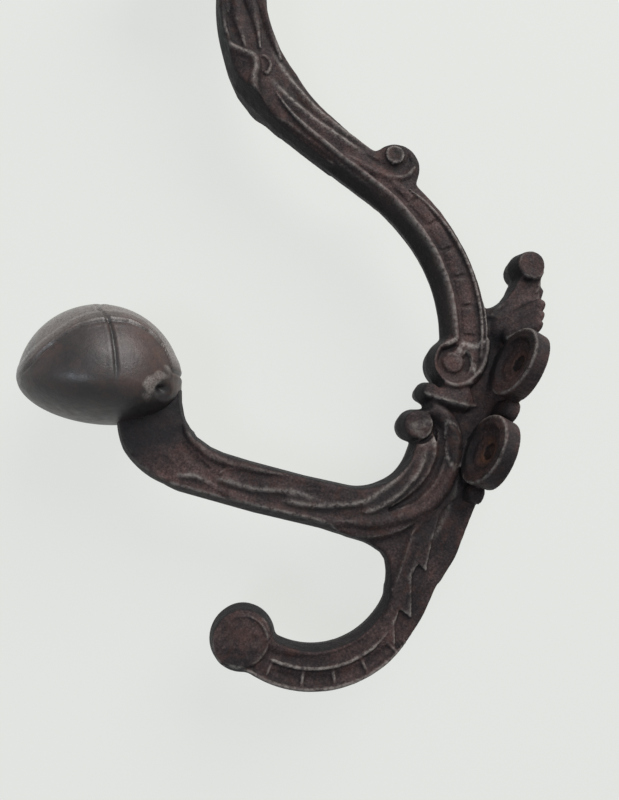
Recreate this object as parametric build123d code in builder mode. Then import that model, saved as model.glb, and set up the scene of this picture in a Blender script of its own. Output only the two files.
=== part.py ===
"""Double coat hook: one symmetric iron casting with four screw lugs, two knobbed arms and a lower curl.

The wall is the plane Y = 0 and the hook stands out from it towards -Y, with +Z up and X = 0 as the plane in
which the two halves of the mould met. The origin lies on the wall, at the middle of the four screw holes.
"""

from build123d import *
from math import cos, radians, sin
import os

os.makedirs("parts", exist_ok=True)

# ---------------------------------------------------------------- driving dimensions (millimetres, degrees)
# the casting as a whole
casting_thickness = 12.6        # across the arms, from side face to side face
draft_inset = 1.3               # how far a side face stays inside the mould's parting line
web_thickness = 8.4             # the sunk ground between the scrolls
cord_width = 3.2                # the raised cords that edge the arms
cord_stand = 0.8                # how far a cord stands above its side face

# the four screw lugs
lug_diameter = 22.0
lug_pitch_across = 28.8
lug_pitch_up = 28.0
lug_height = 6.6                # from the wall to the middle of a lug's face
lug_draft = 9.0                 # a lug's face leans outwards, so that the pattern leaves the sand
lug_recess_diameter = 15.0
lug_recess_depth = 1.8
screw_hole_diameter = 5.2

# the back plate that joins the lugs
plate_thickness = 4.2
plate_link_across = 34.0        # the lobe between an upper and a lower lug
plate_link_up = 8.0
plate_foot_across = 18.0
plate_foot_drop = 44.0
leaf_across = 27.0              # the three-fingered leaf above the upper lugs
leaf_rise = 27.5                # to the middle of its lowest finger
leaf_finger_pitch = 4.2
leaf_finger_radius = 2.5
leaf_finger_count = 3
leaf_finger_step = 0.5          # each finger stands this much above the next

# the scroll that ends the back plate at the top
crest_reach = 7.3
crest_rise = 49.3
crest_radius = 5.4
crest_thickness = 11.2
crest_eye_radius = 4.6
neck_depth = 10.5
neck_foot_rise = 30.0
neck_foot_flare = 3.0          # the neck is this much deeper at its foot

# the upper arm: an arc off the root scroll, a straight, an arc up to the knob and a short neck
upper_root_reach = 17.9
upper_root_rise = 12.4
upper_root_heading = 78.0
upper_bow_radius = 59.0
upper_bow_angle = 64.0
upper_straight = 27.0
upper_lift_radius = 55.6
upper_lift_angle = 52.0
upper_neck = 26.0
upper_depth = 14.4
calyx_lead = 14.0               # how far up the lifting arc the leaf calyx starts
calyx_depth = 17.6
calyx_thickness = 14.4
calyx_flute_width = 3.6
calyx_flute_pitch = 5.0
calyx_flute_depth = 0.9

# the lower arm: an arc round the root, a straight, an arc up to the knob and a short neck
lower_root_reach = 15.5
lower_root_drop = 21.0
lower_lead = 8.0                # the arm starts this far above its bow, behind the scroll's eye
lower_bow_radius = 24.0
lower_bow_angle = 82.8
lower_straight = 46.8
lower_lift_radius = 17.0
lower_lift_angle = 75.2
lower_neck = 7.0
lower_depth = 14.8

# the tail and its curl
crotch_reach = 18.1             # where the lower arm's underside meets the tail
crotch_drop = 54.0
tail_reach = 8.9
tail_start_drop = 34.0
tail_straight = 28.0
curl_radius = 29.3
curl_angle = 115.0
curl_depth = 12.8
curl_end_radius = 9.4
curl_face_radius = 6.8
curl_face_sink = 0.6

# the two knobs
knob_diameter = 46.8
knob_crown = 24.3               # from the widest line up to the top
knob_belly = 11.7               # from the widest line down to the underside
knob_bands = 8                  # short straight bands that make up a knob's outline, bottom to top
knob_lean = 17.0                # away from the wall
knob_set_forward = 12.3         # from the end of an arm's neck to the middle of the knob
knob_set_down = 2.9

# the scrolls on the sides
root_scroll_reach = 19.9
root_scroll_rise = 10.1
root_scroll_radius = 8.1
root_cord_turn = 6.0            # radius of the cord that rings the root scroll
scroll_cord_width = 3.8
root_eye_radius = 3.2
scroll_back_radius = 14.5       # the lower scroll's cord runs up behind it on this radius
scroll_eye_turn = 6.4           # and closes round its eye on this one
scroll_eye_radius = 4.0
scroll_boss_radius = 5.4
back_boss_back = 1.3            # the boss on the back of the upper arm, from the end of the bow
back_boss_out = 4.1
back_boss_radius = 7.8
back_eye_ahead = 1.8
back_eye_out = 8.7
back_eye_radius = 2.7
eye_stand = 0.8                 # how far a scroll's eye stands above its side face

# the panels
panel_stand = 0.7
upper_panel_count = 5
upper_panel_pitch = 9.2         # degrees of the upper arm's bow
upper_panel_lead = 10.5
upper_panel_length = 7.8
upper_panel_width = 3.6
curl_panel_count = 4
curl_panel_pitch = 17.0         # degrees of the curl
curl_panel_lead = 34.8
curl_panel_length = 7.6
curl_panel_width = 5.4

# cords along the arms, each at its own distance from an arm's middle line
upper_cord_front = 4.6
upper_cord_back = 3.8
lower_cord_under = 5.2
lower_cord_top = 5.6
curl_cord_inside = 4.0
curl_cord_outside = 5.3
upper_cord_lead = 9.0           # degrees of the upper arm's bow before its cords start
upper_cord_overrun = 2.0        # degrees that they run on under the calyx
tail_cord_lead = 14.0           # how far down the tail its cords start

# the leaves laid along the arms and the tail
blade_stand = 0.9
blade_bow = 0.22                # how far a blade bulges, as a share of its length
wedge_leaf_out = 7.6             # from the middle of the root scroll out to the leaf's root
wedge_leaf_back = 10.0          # its point's distance from the wall
wedge_leaf_drop = 1.1
lower_blade_turn = 40.0         # how far round the lower arm's bow its first blade starts
lower_blade_pitch = 21.0
lower_blade_length = 18.0
lower_blade_rise = 4.2
rosette_radius = 4.6
rosette_turn = 22.0             # how far round the lower arm's bend the rosette sits
barb_count = 4
barb_pitch = 7.0
barb_length = 6.2
barb_width = 5.0

# ---------------------------------------------------------------- planes and values that follow
# on the side plane, local x is the distance from the wall and local y is the height
side = Plane(origin=(0, 0, 0), x_dir=(0, -1, 0), z_dir=(-1, 0, 0))
half = casting_thickness / 2
half_web = web_thickness / 2

upper_start, lower_start = (upper_root_reach, upper_root_rise), (lower_root_reach, -lower_root_drop)
upper_run = [("arc", upper_bow_radius, -upper_bow_angle), ("line", upper_straight, 0)]
lift_run = [("arc", upper_lift_radius, upper_lift_angle), ("line", upper_neck, 0)]
calyx_run = [("arc", upper_lift_radius, upper_lift_angle - calyx_lead), ("line", upper_neck, 0)]
lower_run = [("arc", lower_bow_radius, lower_bow_angle), ("line", lower_straight, 0)]
lead_run = [("line", lower_lead, 0)]
bend_run = [("arc", lower_lift_radius, lower_lift_angle), ("line", lower_neck, 0)]
tail_start = (tail_reach, -tail_start_drop)
tail_run = [("line", tail_straight, 0), ("arc", curl_radius, curl_angle)]


def beside(place, heading, ahead, right):
    """A place in the side plane moved ahead along a heading and off to its right."""
    c, s = cos(radians(heading)), sin(radians(heading))
    return (place[0] + ahead * c + right * s, place[1] + ahead * s - right * c)


def follow(place, heading, run, right=0.0):
    """Where a run of tangent lines and arcs ends, and its heading there. right shifts the whole run sideways."""
    for kind, size, turn in run:
        if kind == "line":
            place = beside(place, heading, size, 0)
        else:
            hand = -1 if turn > 0 else 1
            middle = beside(place, heading, 0, hand * size - right)
            heading += turn
            place = beside(middle, heading, 0, right - hand * size)
    return place, heading


def draw_run(place, heading, run, right=0.0):
    """Draws a run of tangent lines and arcs in a BuildLine, shifted sideways by the same distance all along."""
    for kind, size, turn in run:
        start = beside(place, heading, 0, right)
        if kind == "line":
            Line(start, beside(start, heading, size, 0))
        else:
            grown = size + (right if turn > 0 else -right)
            JernArc(start=start, tangent=beside((0, 0), heading, 1, 0), radius=grown, arc_size=turn)
        place, heading = follow(place, heading, [(kind, size, turn)])


def across(path):
    """The plane across the start of a path, with its local x across the casting."""
    return Plane(origin=path @ 0, x_dir=(1, 0, 0), z_dir=path % 0)


def draw_drafted_section(depth, thickness):
    """A six-sided section, widest on the parting line, for a sketch on a plane across an arm."""
    out, deep = thickness / 2, depth / 2
    Polygon(
        (0, deep), (-out, deep - draft_inset), (-out, draft_inset - deep),
        (0, -deep), (out, draft_inset - deep), (out, deep - draft_inset),
        align=None,
    )


def draw_cord_section(width):
    """The section of a cord that stands on a side face, for a sketch on a plane across the cord."""
    Polygon((cord_stand, 0), (-cord_stand, width / 2), (-cord_stand, -width / 2), align=None)


def level(height):
    """The plane that stands a height above the parting plane on the hook's right side, facing the parting plane."""
    return side.offset(-height)


def draw_blade(root, tip):
    """A pointed leaf blade between two places, for a BuildLine."""
    length_x, length_y = tip[0] - root[0], tip[1] - root[1]
    middle = ((root[0] + tip[0]) / 2, (root[1] + tip[1]) / 2)
    for bow in (blade_bow, -blade_bow):
        ThreePointArc(root, (middle[0] - bow * length_y, middle[1] + bow * length_x), tip)


upper_end, upper_heading = follow(upper_start, upper_root_heading, upper_run)
calyx_start, calyx_heading = follow(upper_end, upper_heading, [("arc", upper_lift_radius, calyx_lead)])
upper_tip, _ = follow(upper_end, upper_heading, lift_run)
lower_end, lower_heading = follow(lower_start, -90, lower_run)
lower_tip, _ = follow(lower_end, lower_heading, bend_run)
curl_tip, _ = follow(tail_start, -90, tail_run)
scroll_start = beside(lower_start, -90, 0, lower_cord_under)
scroll_run = [("arc", scroll_back_radius, -90), ("arc", scroll_eye_turn, -110)]
scroll_top, _ = follow(scroll_start, 90, scroll_run[:1])
scroll_eye = (scroll_top[0], scroll_top[1] - scroll_eye_turn)
bow_end, bow_heading = follow(upper_start, upper_root_heading, upper_run[:1])
back_boss = beside(bow_end, bow_heading, -back_boss_back, -back_boss_out)
back_eye = beside(bow_end, bow_heading, back_eye_ahead, -back_eye_out)
root_scroll = side.from_local_coords((root_scroll_reach, root_scroll_rise, 0))

# ---------------------------------------------------------------- the arms and the tail
with BuildPart() as upper_arm:
    with BuildLine(side) as upper_path:
        draw_run(upper_start, upper_root_heading, upper_run + lift_run)
    with BuildSketch(across(upper_path.line)):
        draw_drafted_section(upper_depth, casting_thickness)
    sweep(path=upper_path.line)

with BuildPart() as calyx:
    with BuildLine(side) as calyx_path:
        draw_run(calyx_start, calyx_heading, calyx_run)
    with BuildSketch(across(calyx_path.line)):
        draw_drafted_section(calyx_depth, calyx_thickness)
    sweep(path=calyx_path.line)

with BuildPart() as calyx_flutes:
    for flute in (-calyx_flute_pitch, 0, calyx_flute_pitch):
        with BuildLine(level(calyx_thickness / 2)) as flute_path:
            draw_run(calyx_start, calyx_heading, calyx_run, flute)
        with BuildSketch(across(flute_path.line)):
            Polygon(
                (0, calyx_flute_width / 2), (-calyx_flute_depth, 0), (0, -calyx_flute_width / 2),
                (calyx_flute_depth, 0), align=None,
            )
        sweep(path=flute_path.line)
    mirror(about=Plane.YZ)

with BuildPart() as lower_arm:
    with BuildLine(side) as lower_path:
        draw_run(beside(lower_start, -90, -lower_lead, 0), -90, lead_run + lower_run + bend_run)
    with BuildSketch(across(lower_path.line)):
        draw_drafted_section(lower_depth, casting_thickness)
    sweep(path=lower_path.line)

with BuildPart() as tail:
    with BuildLine(side) as tail_path:
        draw_run(tail_start, -90, tail_run)
    with BuildSketch(across(tail_path.line)):
        draw_drafted_section(curl_depth, casting_thickness)
    sweep(path=tail_path.line)

# ---------------------------------------------------------------- the web, the neck and the back plate
with BuildPart() as web:
    with BuildSketch(side):
        with BuildLine():
            Polyline(
                (0, neck_foot_rise), (neck_depth, neck_foot_rise), upper_start,
                (root_scroll_reach, root_scroll_rise), scroll_eye, lower_start,
                follow(lower_start, -90, lower_run[:1])[0],
                (crotch_reach, -crotch_drop),
                (tail_reach, -tail_start_drop - tail_straight), (0, -plate_foot_drop), close=True,
            )
        make_face()
    extrude(amount=half_web, both=True)

with BuildPart() as crest:
    with BuildSketch(side):
        with BuildLine():
            Polyline(
                (0, neck_foot_rise), (crest_reach - crest_radius, crest_rise), (crest_reach, crest_rise),
                (neck_depth, crest_rise - crest_radius), (neck_depth + neck_foot_flare, neck_foot_rise), close=True,
            )
        make_face()
        with Locations((crest_reach, crest_rise)):
            Circle(crest_radius)
    extrude(amount=crest_thickness / 2, both=True)
    with BuildSketch(side):
        with Locations((crest_reach, crest_rise)):
            Circle(crest_eye_radius)
    extrude(amount=crest_thickness / 2 + eye_stand, both=True)

with BuildPart() as plate:
    with BuildSketch(Plane.XZ):
        with BuildLine():
            Polyline(
                (-plate_foot_across / 2, -lug_pitch_up / 2), (-casting_thickness / 2, -plate_foot_drop),
                (casting_thickness / 2, -plate_foot_drop), (plate_foot_across / 2, -lug_pitch_up / 2),
                (plate_foot_across / 2, leaf_rise), (crest_thickness / 2, crest_rise - crest_radius),
                (-crest_thickness / 2, crest_rise - crest_radius), (-plate_foot_across / 2, leaf_rise), close=True,
            )
        make_face()
        SlotOverall(plate_link_across, plate_link_up)
        with Locations((0, -lug_pitch_up / 2 - lug_diameter / 2)):
            SlotOverall(plate_foot_across + cord_width, plate_link_up)
    extrude(amount=plate_thickness)
    for finger in range(leaf_finger_count):
        with BuildSketch(Plane.XZ):
            with Locations((0, leaf_rise + finger * leaf_finger_pitch)):
                SlotOverall(leaf_across - 2 * finger * leaf_finger_radius, 2 * leaf_finger_radius)
        extrude(amount=plate_thickness + (leaf_finger_count - finger) * leaf_finger_step)

# ---------------------------------------------------------------- the screw lugs
with BuildPart() as lug:
    with BuildSketch(Plane.XY):
        Circle(lug_diameter / 2)
    extrude(amount=-2 * lug_height)
    with BuildSketch(Plane.XY):
        Circle(lug_recess_diameter / 2)
    extrude(amount=-lug_recess_depth, mode=Mode.SUBTRACT)

lug_places = [
    Location(
        Plane(
            origin=(hand * lug_pitch_across / 2, -lug_height, rise * lug_pitch_up / 2),
            x_dir=(0, 0, 1),
            z_dir=(hand * sin(radians(lug_draft)), -cos(radians(lug_draft)), 0),
        )
    )
    for hand in (-1, 1)
    for rise in (-1, 1)
]
with BuildPart() as lugs:
    with Locations(*lug_places):
        add(lug.part)
    split(bisect_by=Plane.XZ, keep=Keep.TOP)

# ---------------------------------------------------------------- scrolls, cords, panels and leaves of one side
with BuildPart() as bosses:
    with BuildSketch(side):
        with Locations(back_boss):
            Circle(back_boss_radius)
        with Locations((root_scroll_reach, root_scroll_rise)):
            Circle(root_scroll_radius)
        with Locations(scroll_eye):
            Circle(scroll_boss_radius)
        with Locations(curl_tip):
            Circle(curl_end_radius)
    extrude(amount=-half)
    chamfer(bosses.faces().sort_by(Axis.X)[-1].edges(), length=draft_inset)
    with BuildSketch(side):
        with Locations(back_eye):
            Circle(back_eye_radius)
        with Locations(scroll_eye):
            Circle(scroll_eye_radius)
        with Locations((root_scroll_reach, root_scroll_rise)):
            Circle(root_eye_radius)
    extrude(amount=-half - eye_stand)
    with BuildSketch(level(half)):
        with Locations(curl_tip):
            Circle(curl_face_radius)
    extrude(amount=curl_face_sink, mode=Mode.SUBTRACT)
    mirror(about=Plane.YZ)

upper_cord_start = follow(upper_start, upper_root_heading, [("arc", upper_bow_radius, -upper_cord_lead)])
tail_cord_start = follow(tail_start, -90, [("line", tail_cord_lead, 0)])
upper_cord_run = [
    ("arc", upper_bow_radius, upper_cord_lead - upper_bow_angle),
    ("line", upper_straight, 0),
    ("arc", upper_lift_radius, calyx_lead + upper_cord_overrun),
]
tail_cord_run = [("line", tail_straight - tail_cord_lead, 0), ("arc", curl_radius, curl_angle)]
cord_runs = [
    (*upper_cord_start, upper_cord_run, upper_cord_front, cord_width),
    (*upper_cord_start, upper_cord_run, -upper_cord_back, cord_width),
    (lower_start, -90, lower_run + bend_run[:1], lower_cord_under, cord_width),
    (lower_start, -90, lower_run + bend_run[:1], -lower_cord_top, cord_width),
    (*tail_cord_start, tail_cord_run, curl_cord_outside, cord_width),
    (*tail_cord_start, tail_cord_run, -curl_cord_inside, cord_width),
    (scroll_start, 90, scroll_run, 0, scroll_cord_width),
]
with BuildPart() as cords:
    for place, heading, run, right, width in cord_runs:
        with BuildLine(level(half)) as cord_path:
            draw_run(place, heading, run, right)
        with BuildSketch(across(cord_path.line)):
            draw_cord_section(width)
        sweep(path=cord_path.line)
    with BuildSketch(Plane(origin=root_scroll, x_dir=(1, 0, 0), z_dir=(0, 1, 0))):
        with Locations((half, root_cord_turn)):
            draw_cord_section(scroll_cord_width)
    revolve(axis=Axis(root_scroll, (1, 0, 0)))
    mirror(about=Plane.YZ)

with BuildPart() as panels:
    for step in range(upper_panel_count):
        turned = upper_panel_lead + step * upper_panel_pitch
        place, heading = follow(upper_start, upper_root_heading, [("arc", upper_bow_radius, -turned)])
        with BuildSketch(level(half - panel_stand)):
            with Locations(place):
                Rectangle(upper_panel_length, upper_panel_width, rotation=heading)
        extrude(amount=-2 * panel_stand)
    mirror(about=Plane.YZ)

with BuildPart() as sunk_panels:
    for step in range(curl_panel_count):
        turned = curl_panel_lead + step * curl_panel_pitch
        place, heading = follow(tail_start, -90, [tail_run[0], ("arc", curl_radius, turned)])
        with BuildSketch(level(half)):
            with Locations(place):
                Rectangle(curl_panel_length, curl_panel_width, rotation=heading)
        extrude(amount=panel_stand)
    mirror(about=Plane.YZ)

blade_runs = [
    [("arc", lower_bow_radius, lower_blade_turn)],
    lower_run[:1],
    [lower_run[0], ("line", lower_blade_pitch, 0)],
]
with BuildPart() as leaves:
    with BuildSketch(side):
        with BuildLine():
            draw_blade((root_scroll_reach + wedge_leaf_out, -wedge_leaf_drop), (wedge_leaf_back, -wedge_leaf_drop))
        make_face()
        for blade_run in blade_runs:
            place, heading = follow(lower_start, -90, blade_run)
            root = beside(place, heading, 0, -lower_blade_rise)
            tip = beside(place, heading, lower_blade_length, 0)
            with BuildLine():
                draw_blade(root, tip)
            make_face()
        place, heading = follow(lower_end, lower_heading, [(*bend_run[0][:2], rosette_turn)])
        with Locations(place):
            Circle(rosette_radius)
        for step in range(barb_count):
            with Locations((tail_reach, -tail_start_drop - (step + 1) * barb_pitch)):
                Triangle(a=barb_width, b=barb_length, C=90)
    extrude(amount=half + blade_stand, both=True)

# ---------------------------------------------------------------- the knobs
with BuildPart() as knob:
    with BuildSketch(Plane.XZ):
        with BuildLine():
            bun_outline = []
            for band in range(knob_bands + 1):
                turned = radians(180 * band / knob_bands - 90)
                height = knob_crown if turned > 0 else knob_belly
                bun_outline.append((knob_diameter / 2 * cos(turned), height * sin(turned)))
            Polyline(*bun_outline, close=True)
        make_face()
    revolve(axis=Axis.Z)

lean = radians(knob_lean)
knob_places = [
    Location(
        Plane(
            origin=side.from_local_coords((tip[0] + knob_set_forward, tip[1] - knob_set_down, 0)),
            x_dir=(0, -cos(lean), -sin(lean)),
            z_dir=(0, -sin(lean), cos(lean)),
        )
    )
    for tip in (upper_tip, lower_tip)
]

# ---------------------------------------------------------------- the casting in one piece
with BuildPart() as coat_hook:
    add(web.part)
    add(plate.part)
    add(crest.part)
    add(upper_arm.part)
    add(calyx.part)
    add(lower_arm.part)
    add(tail.part)
    add(calyx_flutes.part, mode=Mode.SUBTRACT)
    for relief in (bosses, leaves, panels, cords):
        add(relief.part)
    add(sunk_panels.part, mode=Mode.SUBTRACT)
    add(lugs.part)
    with BuildSketch(Plane.XZ):
        with GridLocations(lug_pitch_across, lug_pitch_up, 2, 2):
            Circle(screw_hole_diameter / 2)
    extrude(amount=2 * lug_height, both=True, mode=Mode.SUBTRACT)
    with Locations(*knob_places):
        add(knob.part)

coat_hook.part.label = "coat_hook"
export_step(coat_hook.part, "parts/coat_hook.step")
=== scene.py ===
# %% [markdown]
# # Double coat hook
# An iron casting is shaped by the mould that it left, and this lesson builds it the same way. The mould had two
# halves that parted at X = 0, so each side of the casting is a height above that plane. One map says where the
# metal is, a second one says how high it stands, and a skin is drawn round both at the end.
#
# Lengths inside the lesson are millimetres: `reach` is the distance from the wall, `rise` the height above the
# middle of the four screws and `side` the distance from the parting plane. Blender gets metres.

# %% Tools and frame
import math

import bpy
import numpy as np
from mathutils import Matrix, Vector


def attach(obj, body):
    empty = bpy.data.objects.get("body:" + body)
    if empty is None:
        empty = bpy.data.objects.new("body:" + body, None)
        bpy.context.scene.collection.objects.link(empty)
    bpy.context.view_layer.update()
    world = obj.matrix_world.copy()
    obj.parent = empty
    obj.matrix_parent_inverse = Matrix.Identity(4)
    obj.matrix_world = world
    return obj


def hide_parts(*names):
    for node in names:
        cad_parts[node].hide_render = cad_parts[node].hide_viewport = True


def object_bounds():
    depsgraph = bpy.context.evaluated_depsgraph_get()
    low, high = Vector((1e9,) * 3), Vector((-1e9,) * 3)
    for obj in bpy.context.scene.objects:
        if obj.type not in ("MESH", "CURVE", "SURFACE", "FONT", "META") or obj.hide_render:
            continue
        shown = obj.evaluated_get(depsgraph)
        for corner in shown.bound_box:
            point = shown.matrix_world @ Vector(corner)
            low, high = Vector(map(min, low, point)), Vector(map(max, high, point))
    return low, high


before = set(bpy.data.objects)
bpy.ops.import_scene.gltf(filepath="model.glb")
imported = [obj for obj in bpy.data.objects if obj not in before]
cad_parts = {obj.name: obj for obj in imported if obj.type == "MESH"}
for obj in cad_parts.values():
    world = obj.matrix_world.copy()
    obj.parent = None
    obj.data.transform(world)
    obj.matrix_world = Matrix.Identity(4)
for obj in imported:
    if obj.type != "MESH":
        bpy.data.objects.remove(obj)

cad_low, cad_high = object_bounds()
print("CAD box", [round(v, 4) for v in (*cad_low, *cad_high)])
GRAIN = 0.42
FAR = 1e9

# %% [markdown]
# ## Camera, lamps and table
# The hook lies on its far side on a pale table. The table is a plane just below the lowest screw lug, and it
# shows only its upper side, so views from underneath see the hook too.

# %% Camera and lamps
def look(location, right, up, back):
    """A camera matrix from its place and its three axes."""
    turned = Matrix((right, up, back)).transposed().to_4x4()
    turned.translation = location
    return turned


camera = bpy.data.objects.new("camera", bpy.data.cameras.new("camera"))
camera.data.lens = 28.44
camera.data.sensor_width = 36
camera.matrix_world = look(
    (0.18968, -0.07117, -0.04931),
    (0.12791, 0.92467, 0.35864), (0.12757, -0.37395, 0.91863), (0.98355, -0.07175, -0.16579),
)
bpy.context.scene.collection.objects.link(camera)
bpy.context.scene.camera = camera


def lamp(name, place, target, size, power, colour):
    """A soft rectangular lamp at a place, turned towards a target."""
    data = bpy.data.lights.new(name, "AREA")
    data.shape, data.size, data.size_y = "RECTANGLE", size[0], size[1]
    data.energy, data.color = power, colour
    made = bpy.data.objects.new(name, data)
    made.location = place
    aim = Matrix.Translation(target).translation - made.location
    made.rotation_mode = "QUATERNION"
    made.rotation_quaternion = aim.to_track_quat("-Z", "Y")
    bpy.context.scene.collection.objects.link(made)


MIDDLE = (0.0, -0.07, 0.0)
lamp("ceiling", (0.74, 0.08, 0.92), MIDDLE, (0.9, 0.9), 20.0, (1.0, 0.98, 0.96))
lamp("window", (1.04, -0.45, -0.44), MIDDLE, (0.35, 0.35), 5.0, (0.80, 0.90, 1.0))
bpy.context.scene.view_settings.view_transform = "Standard"
print("camera and", len(bpy.data.lights), "lamps")

# %% [markdown]
# ### The studio
# The world and the table show a pale colour to the camera, and light the hook more weakly than they look.

# %% World and table
PALE = (0.752, 0.766, 0.738)


def seen_directly(nodes, links):
    """1 for the rays of the camera, of gloss and of glass, and 0 for light itself."""
    path = nodes.new("ShaderNodeLightPath")
    last = path.outputs["Is Camera Ray"]
    for kind in ("Is Glossy Ray", "Is Transmission Ray"):
        either = nodes.new("ShaderNodeMath")
        either.operation = "MAXIMUM"
        links.new(last, either.inputs[0])
        links.new(path.outputs[kind], either.inputs[1])
        last = either.outputs[0]
    return last


def pale_world():
    """A pale studio: the camera, gloss and glass see the pale colour, and the light itself is weaker."""
    world = bpy.data.worlds.new("studio")
    world.use_nodes = True
    bpy.context.scene.world = world
    nodes, links = world.node_tree.nodes, world.node_tree.links
    ground = nodes["Background"]
    ground.inputs["Color"].default_value = (*PALE, 1)
    strength = nodes.new("ShaderNodeMapRange")
    strength.inputs["To Min"].default_value = 0.12
    strength.inputs["To Max"].default_value = 1.0
    links.new(seen_directly(nodes, links), strength.inputs["Value"])
    links.new(strength.outputs[0], ground.inputs["Strength"])


def pale_table(height):
    """The table's upper side. The camera sees its own colour, mixed with the shadow that the hook throws."""
    mesh = bpy.data.meshes.new("table")
    wide = 6.0
    mesh.from_pydata(
        [(height, -wide, -wide), (height, wide, -wide), (height, wide, wide), (height, -wide, wide)],
        [], [(0, 1, 2, 3)],
    )
    table = bpy.data.objects.new("table", mesh)
    bpy.context.scene.collection.objects.link(table)
    material = bpy.data.materials.new("table")
    material.use_nodes = True
    nodes, links = material.node_tree.nodes, material.node_tree.links
    nodes.clear()
    out = nodes.new("ShaderNodeOutputMaterial")
    diffuse = nodes.new("ShaderNodeBsdfDiffuse")
    diffuse.inputs["Color"].default_value = (0.78, 0.79, 0.77, 1)
    glow = nodes.new("ShaderNodeEmission")
    glow.inputs["Color"].default_value = (0.765, 0.780, 0.752, 1)
    share = nodes.new("ShaderNodeMath")
    share.operation = "MULTIPLY"
    share.inputs[1].default_value = 0.9
    links.new(seen_directly(nodes, links), share.inputs[0])
    mix = nodes.new("ShaderNodeMixShader")
    links.new(share.outputs[0], mix.inputs["Fac"])
    links.new(diffuse.outputs[0], mix.inputs[1])
    links.new(glow.outputs[0], mix.inputs[2])
    clear = nodes.new("ShaderNodeBsdfTransparent")
    face = nodes.new("ShaderNodeNewGeometry")
    both = nodes.new("ShaderNodeMixShader")
    links.new(face.outputs["Backfacing"], both.inputs["Fac"])
    links.new(mix.outputs[0], both.inputs[1])
    links.new(clear.outputs[0], both.inputs[2])
    links.new(both.outputs[0], out.inputs["Surface"])
    mesh.materials.append(material)


TABLE_GAP = 0.0006
pale_world()
pale_table(cad_low.x - TABLE_GAP)
print("table", round((cad_low.x - TABLE_GAP) * 1000, 1), "mm to the side of the parting plane")

# %% [markdown]
# ## Lines that the pattern maker drew
# The arms follow runs of tangent lines and arcs. Everything carved on them follows short curves through given
# points. A point's place beside a line is `(s, n)`: how far along it is and how far off to its right.

# %% Lines and arms
def follow(place, heading, run, step=0.5):
    """Points along a run of ("line", length) and ("arc", radius, turn) pieces, and their headings in radians."""
    places, headings = [], []
    for piece in run:
        length = piece[1] if piece[0] == "line" else piece[1] * math.radians(abs(piece[2]))
        count = max(2, round(length / step))
        turn = 0.0 if piece[0] == "line" else piece[2] / count
        stride = length / count if not turn else 2 * piece[1] * math.sin(math.radians(abs(turn)) / 2)
        for _ in range(count):
            places.append(place)
            headings.append(heading)
            middle = math.radians(heading + turn / 2)
            place = (place[0] + stride * math.cos(middle), place[1] + stride * math.sin(middle))
            heading += turn
    places.append(place)
    headings.append(heading)
    return np.array(places), np.radians(headings)


def curve(*points, step=0.5):
    """A smooth curve through given points, as Catmull and Rom draw it: places and headings."""
    p = np.array(points, float)
    p = np.vstack([2 * p[0] - p[1], p, 2 * p[-1] - p[-2]])
    places = []
    for a, b, c, d in zip(p[:-3], p[1:-2], p[2:-1], p[3:]):
        count = max(2, int(np.hypot(*(c - b)) / step))
        t = np.linspace(0, 1, count, endpoint=False)[:, None]
        places.append(0.5 * (
            2 * b + (c - a) * t + (2 * a - 5 * b + 4 * c - d) * t**2 + (3 * b - a - 3 * c + d) * t**3
        ))
    places = np.vstack([*places, p[-2:-1]])
    ahead = np.gradient(places, axis=0)
    return places, np.arctan2(ahead[:, 1], ahead[:, 0])


def ring(middle, radius, start=0, turn=360):
    """An arc round a middle as places and headings."""
    return follow(
        (
            middle[0] + radius * math.cos(math.radians(start)),
            middle[1] + radius * math.sin(math.radians(start))
        ),
        start + math.copysign(90, turn), [("arc", radius, turn)],
    )


UPPER_START, UPPER_HEADING, UPPER_BOW = (17.9, 12.4), 78, 59
UPPER = follow(
    UPPER_START, UPPER_HEADING, [("arc", UPPER_BOW, -64), ("line", 27), ("arc", 55.6, 52), ("line", 26)]
)
LOWER = follow((15.5, -21), -90, [("arc", 24, 82.8), ("line", 46.8), ("arc", 17, 75.2), ("line", 7)])
TAIL = follow((8.9, -34), -90, [("line", 28), ("arc", 29.3, 115)])
print("the arms end at", UPPER[0][-1].round(1), LOWER[0][-1].round(1), "and the tail at", TAIL[0][-1].round(1))

# %% [markdown]
# ## The two maps
# `EDGE` is the distance from the casting's outline on the parting plane, negative in the metal. `HIGH` is the
# height of the side face. Smooth forms of the larger and smaller of two numbers blend one form into the next.

# %% Maps and distances
REACH = np.arange(-2.0, 149.0, GRAIN)
RISE = np.arange(-101.0, 131.0, GRAIN)
F, U = np.meshgrid(REACH, RISE, indexing="ij")
print("maps of", F.shape, "points")


def larger(a, b, soft=0.3):
    """The larger of a and b, rounded where they cross."""
    mix = np.clip(0.5 + 0.5 * (a - b) / soft, 0, 1)
    return b + (a - b) * mix + soft * mix * (1 - mix)


def smaller(a, b, soft=0.3):
    """The smaller of a and b, rounded where they cross."""
    return -larger(-a, -b, soft)


def blurred(a, size):
    """A map blurred by a box of some millimetres, three times over."""
    reach = max(1, round(size / GRAIN))
    box = np.ones(2 * reach + 1) / (2 * reach + 1)
    for _ in range(3):
        a = np.apply_along_axis(np.convolve, 0, np.pad(a, ((reach, reach), (0, 0)), mode="edge"), box, "valid")
        a = np.apply_along_axis(np.convolve, 1, np.pad(a, ((0, 0), (reach, reach)), mode="edge"), box, "valid")
    return a


def window(places, margin):
    """The part of the maps that lies within a margin of some places, as a pair of slices."""
    low, high = places.min(0) - margin, places.max(0) + margin
    cut = []
    for axis, a, b in ((REACH, low[0], high[0]), (RISE, low[1], high[1])):
        first, last = np.searchsorted(axis, (a, b))
        cut.append(slice(first, max(last, first + 1)))
    return tuple(cut)


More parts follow.
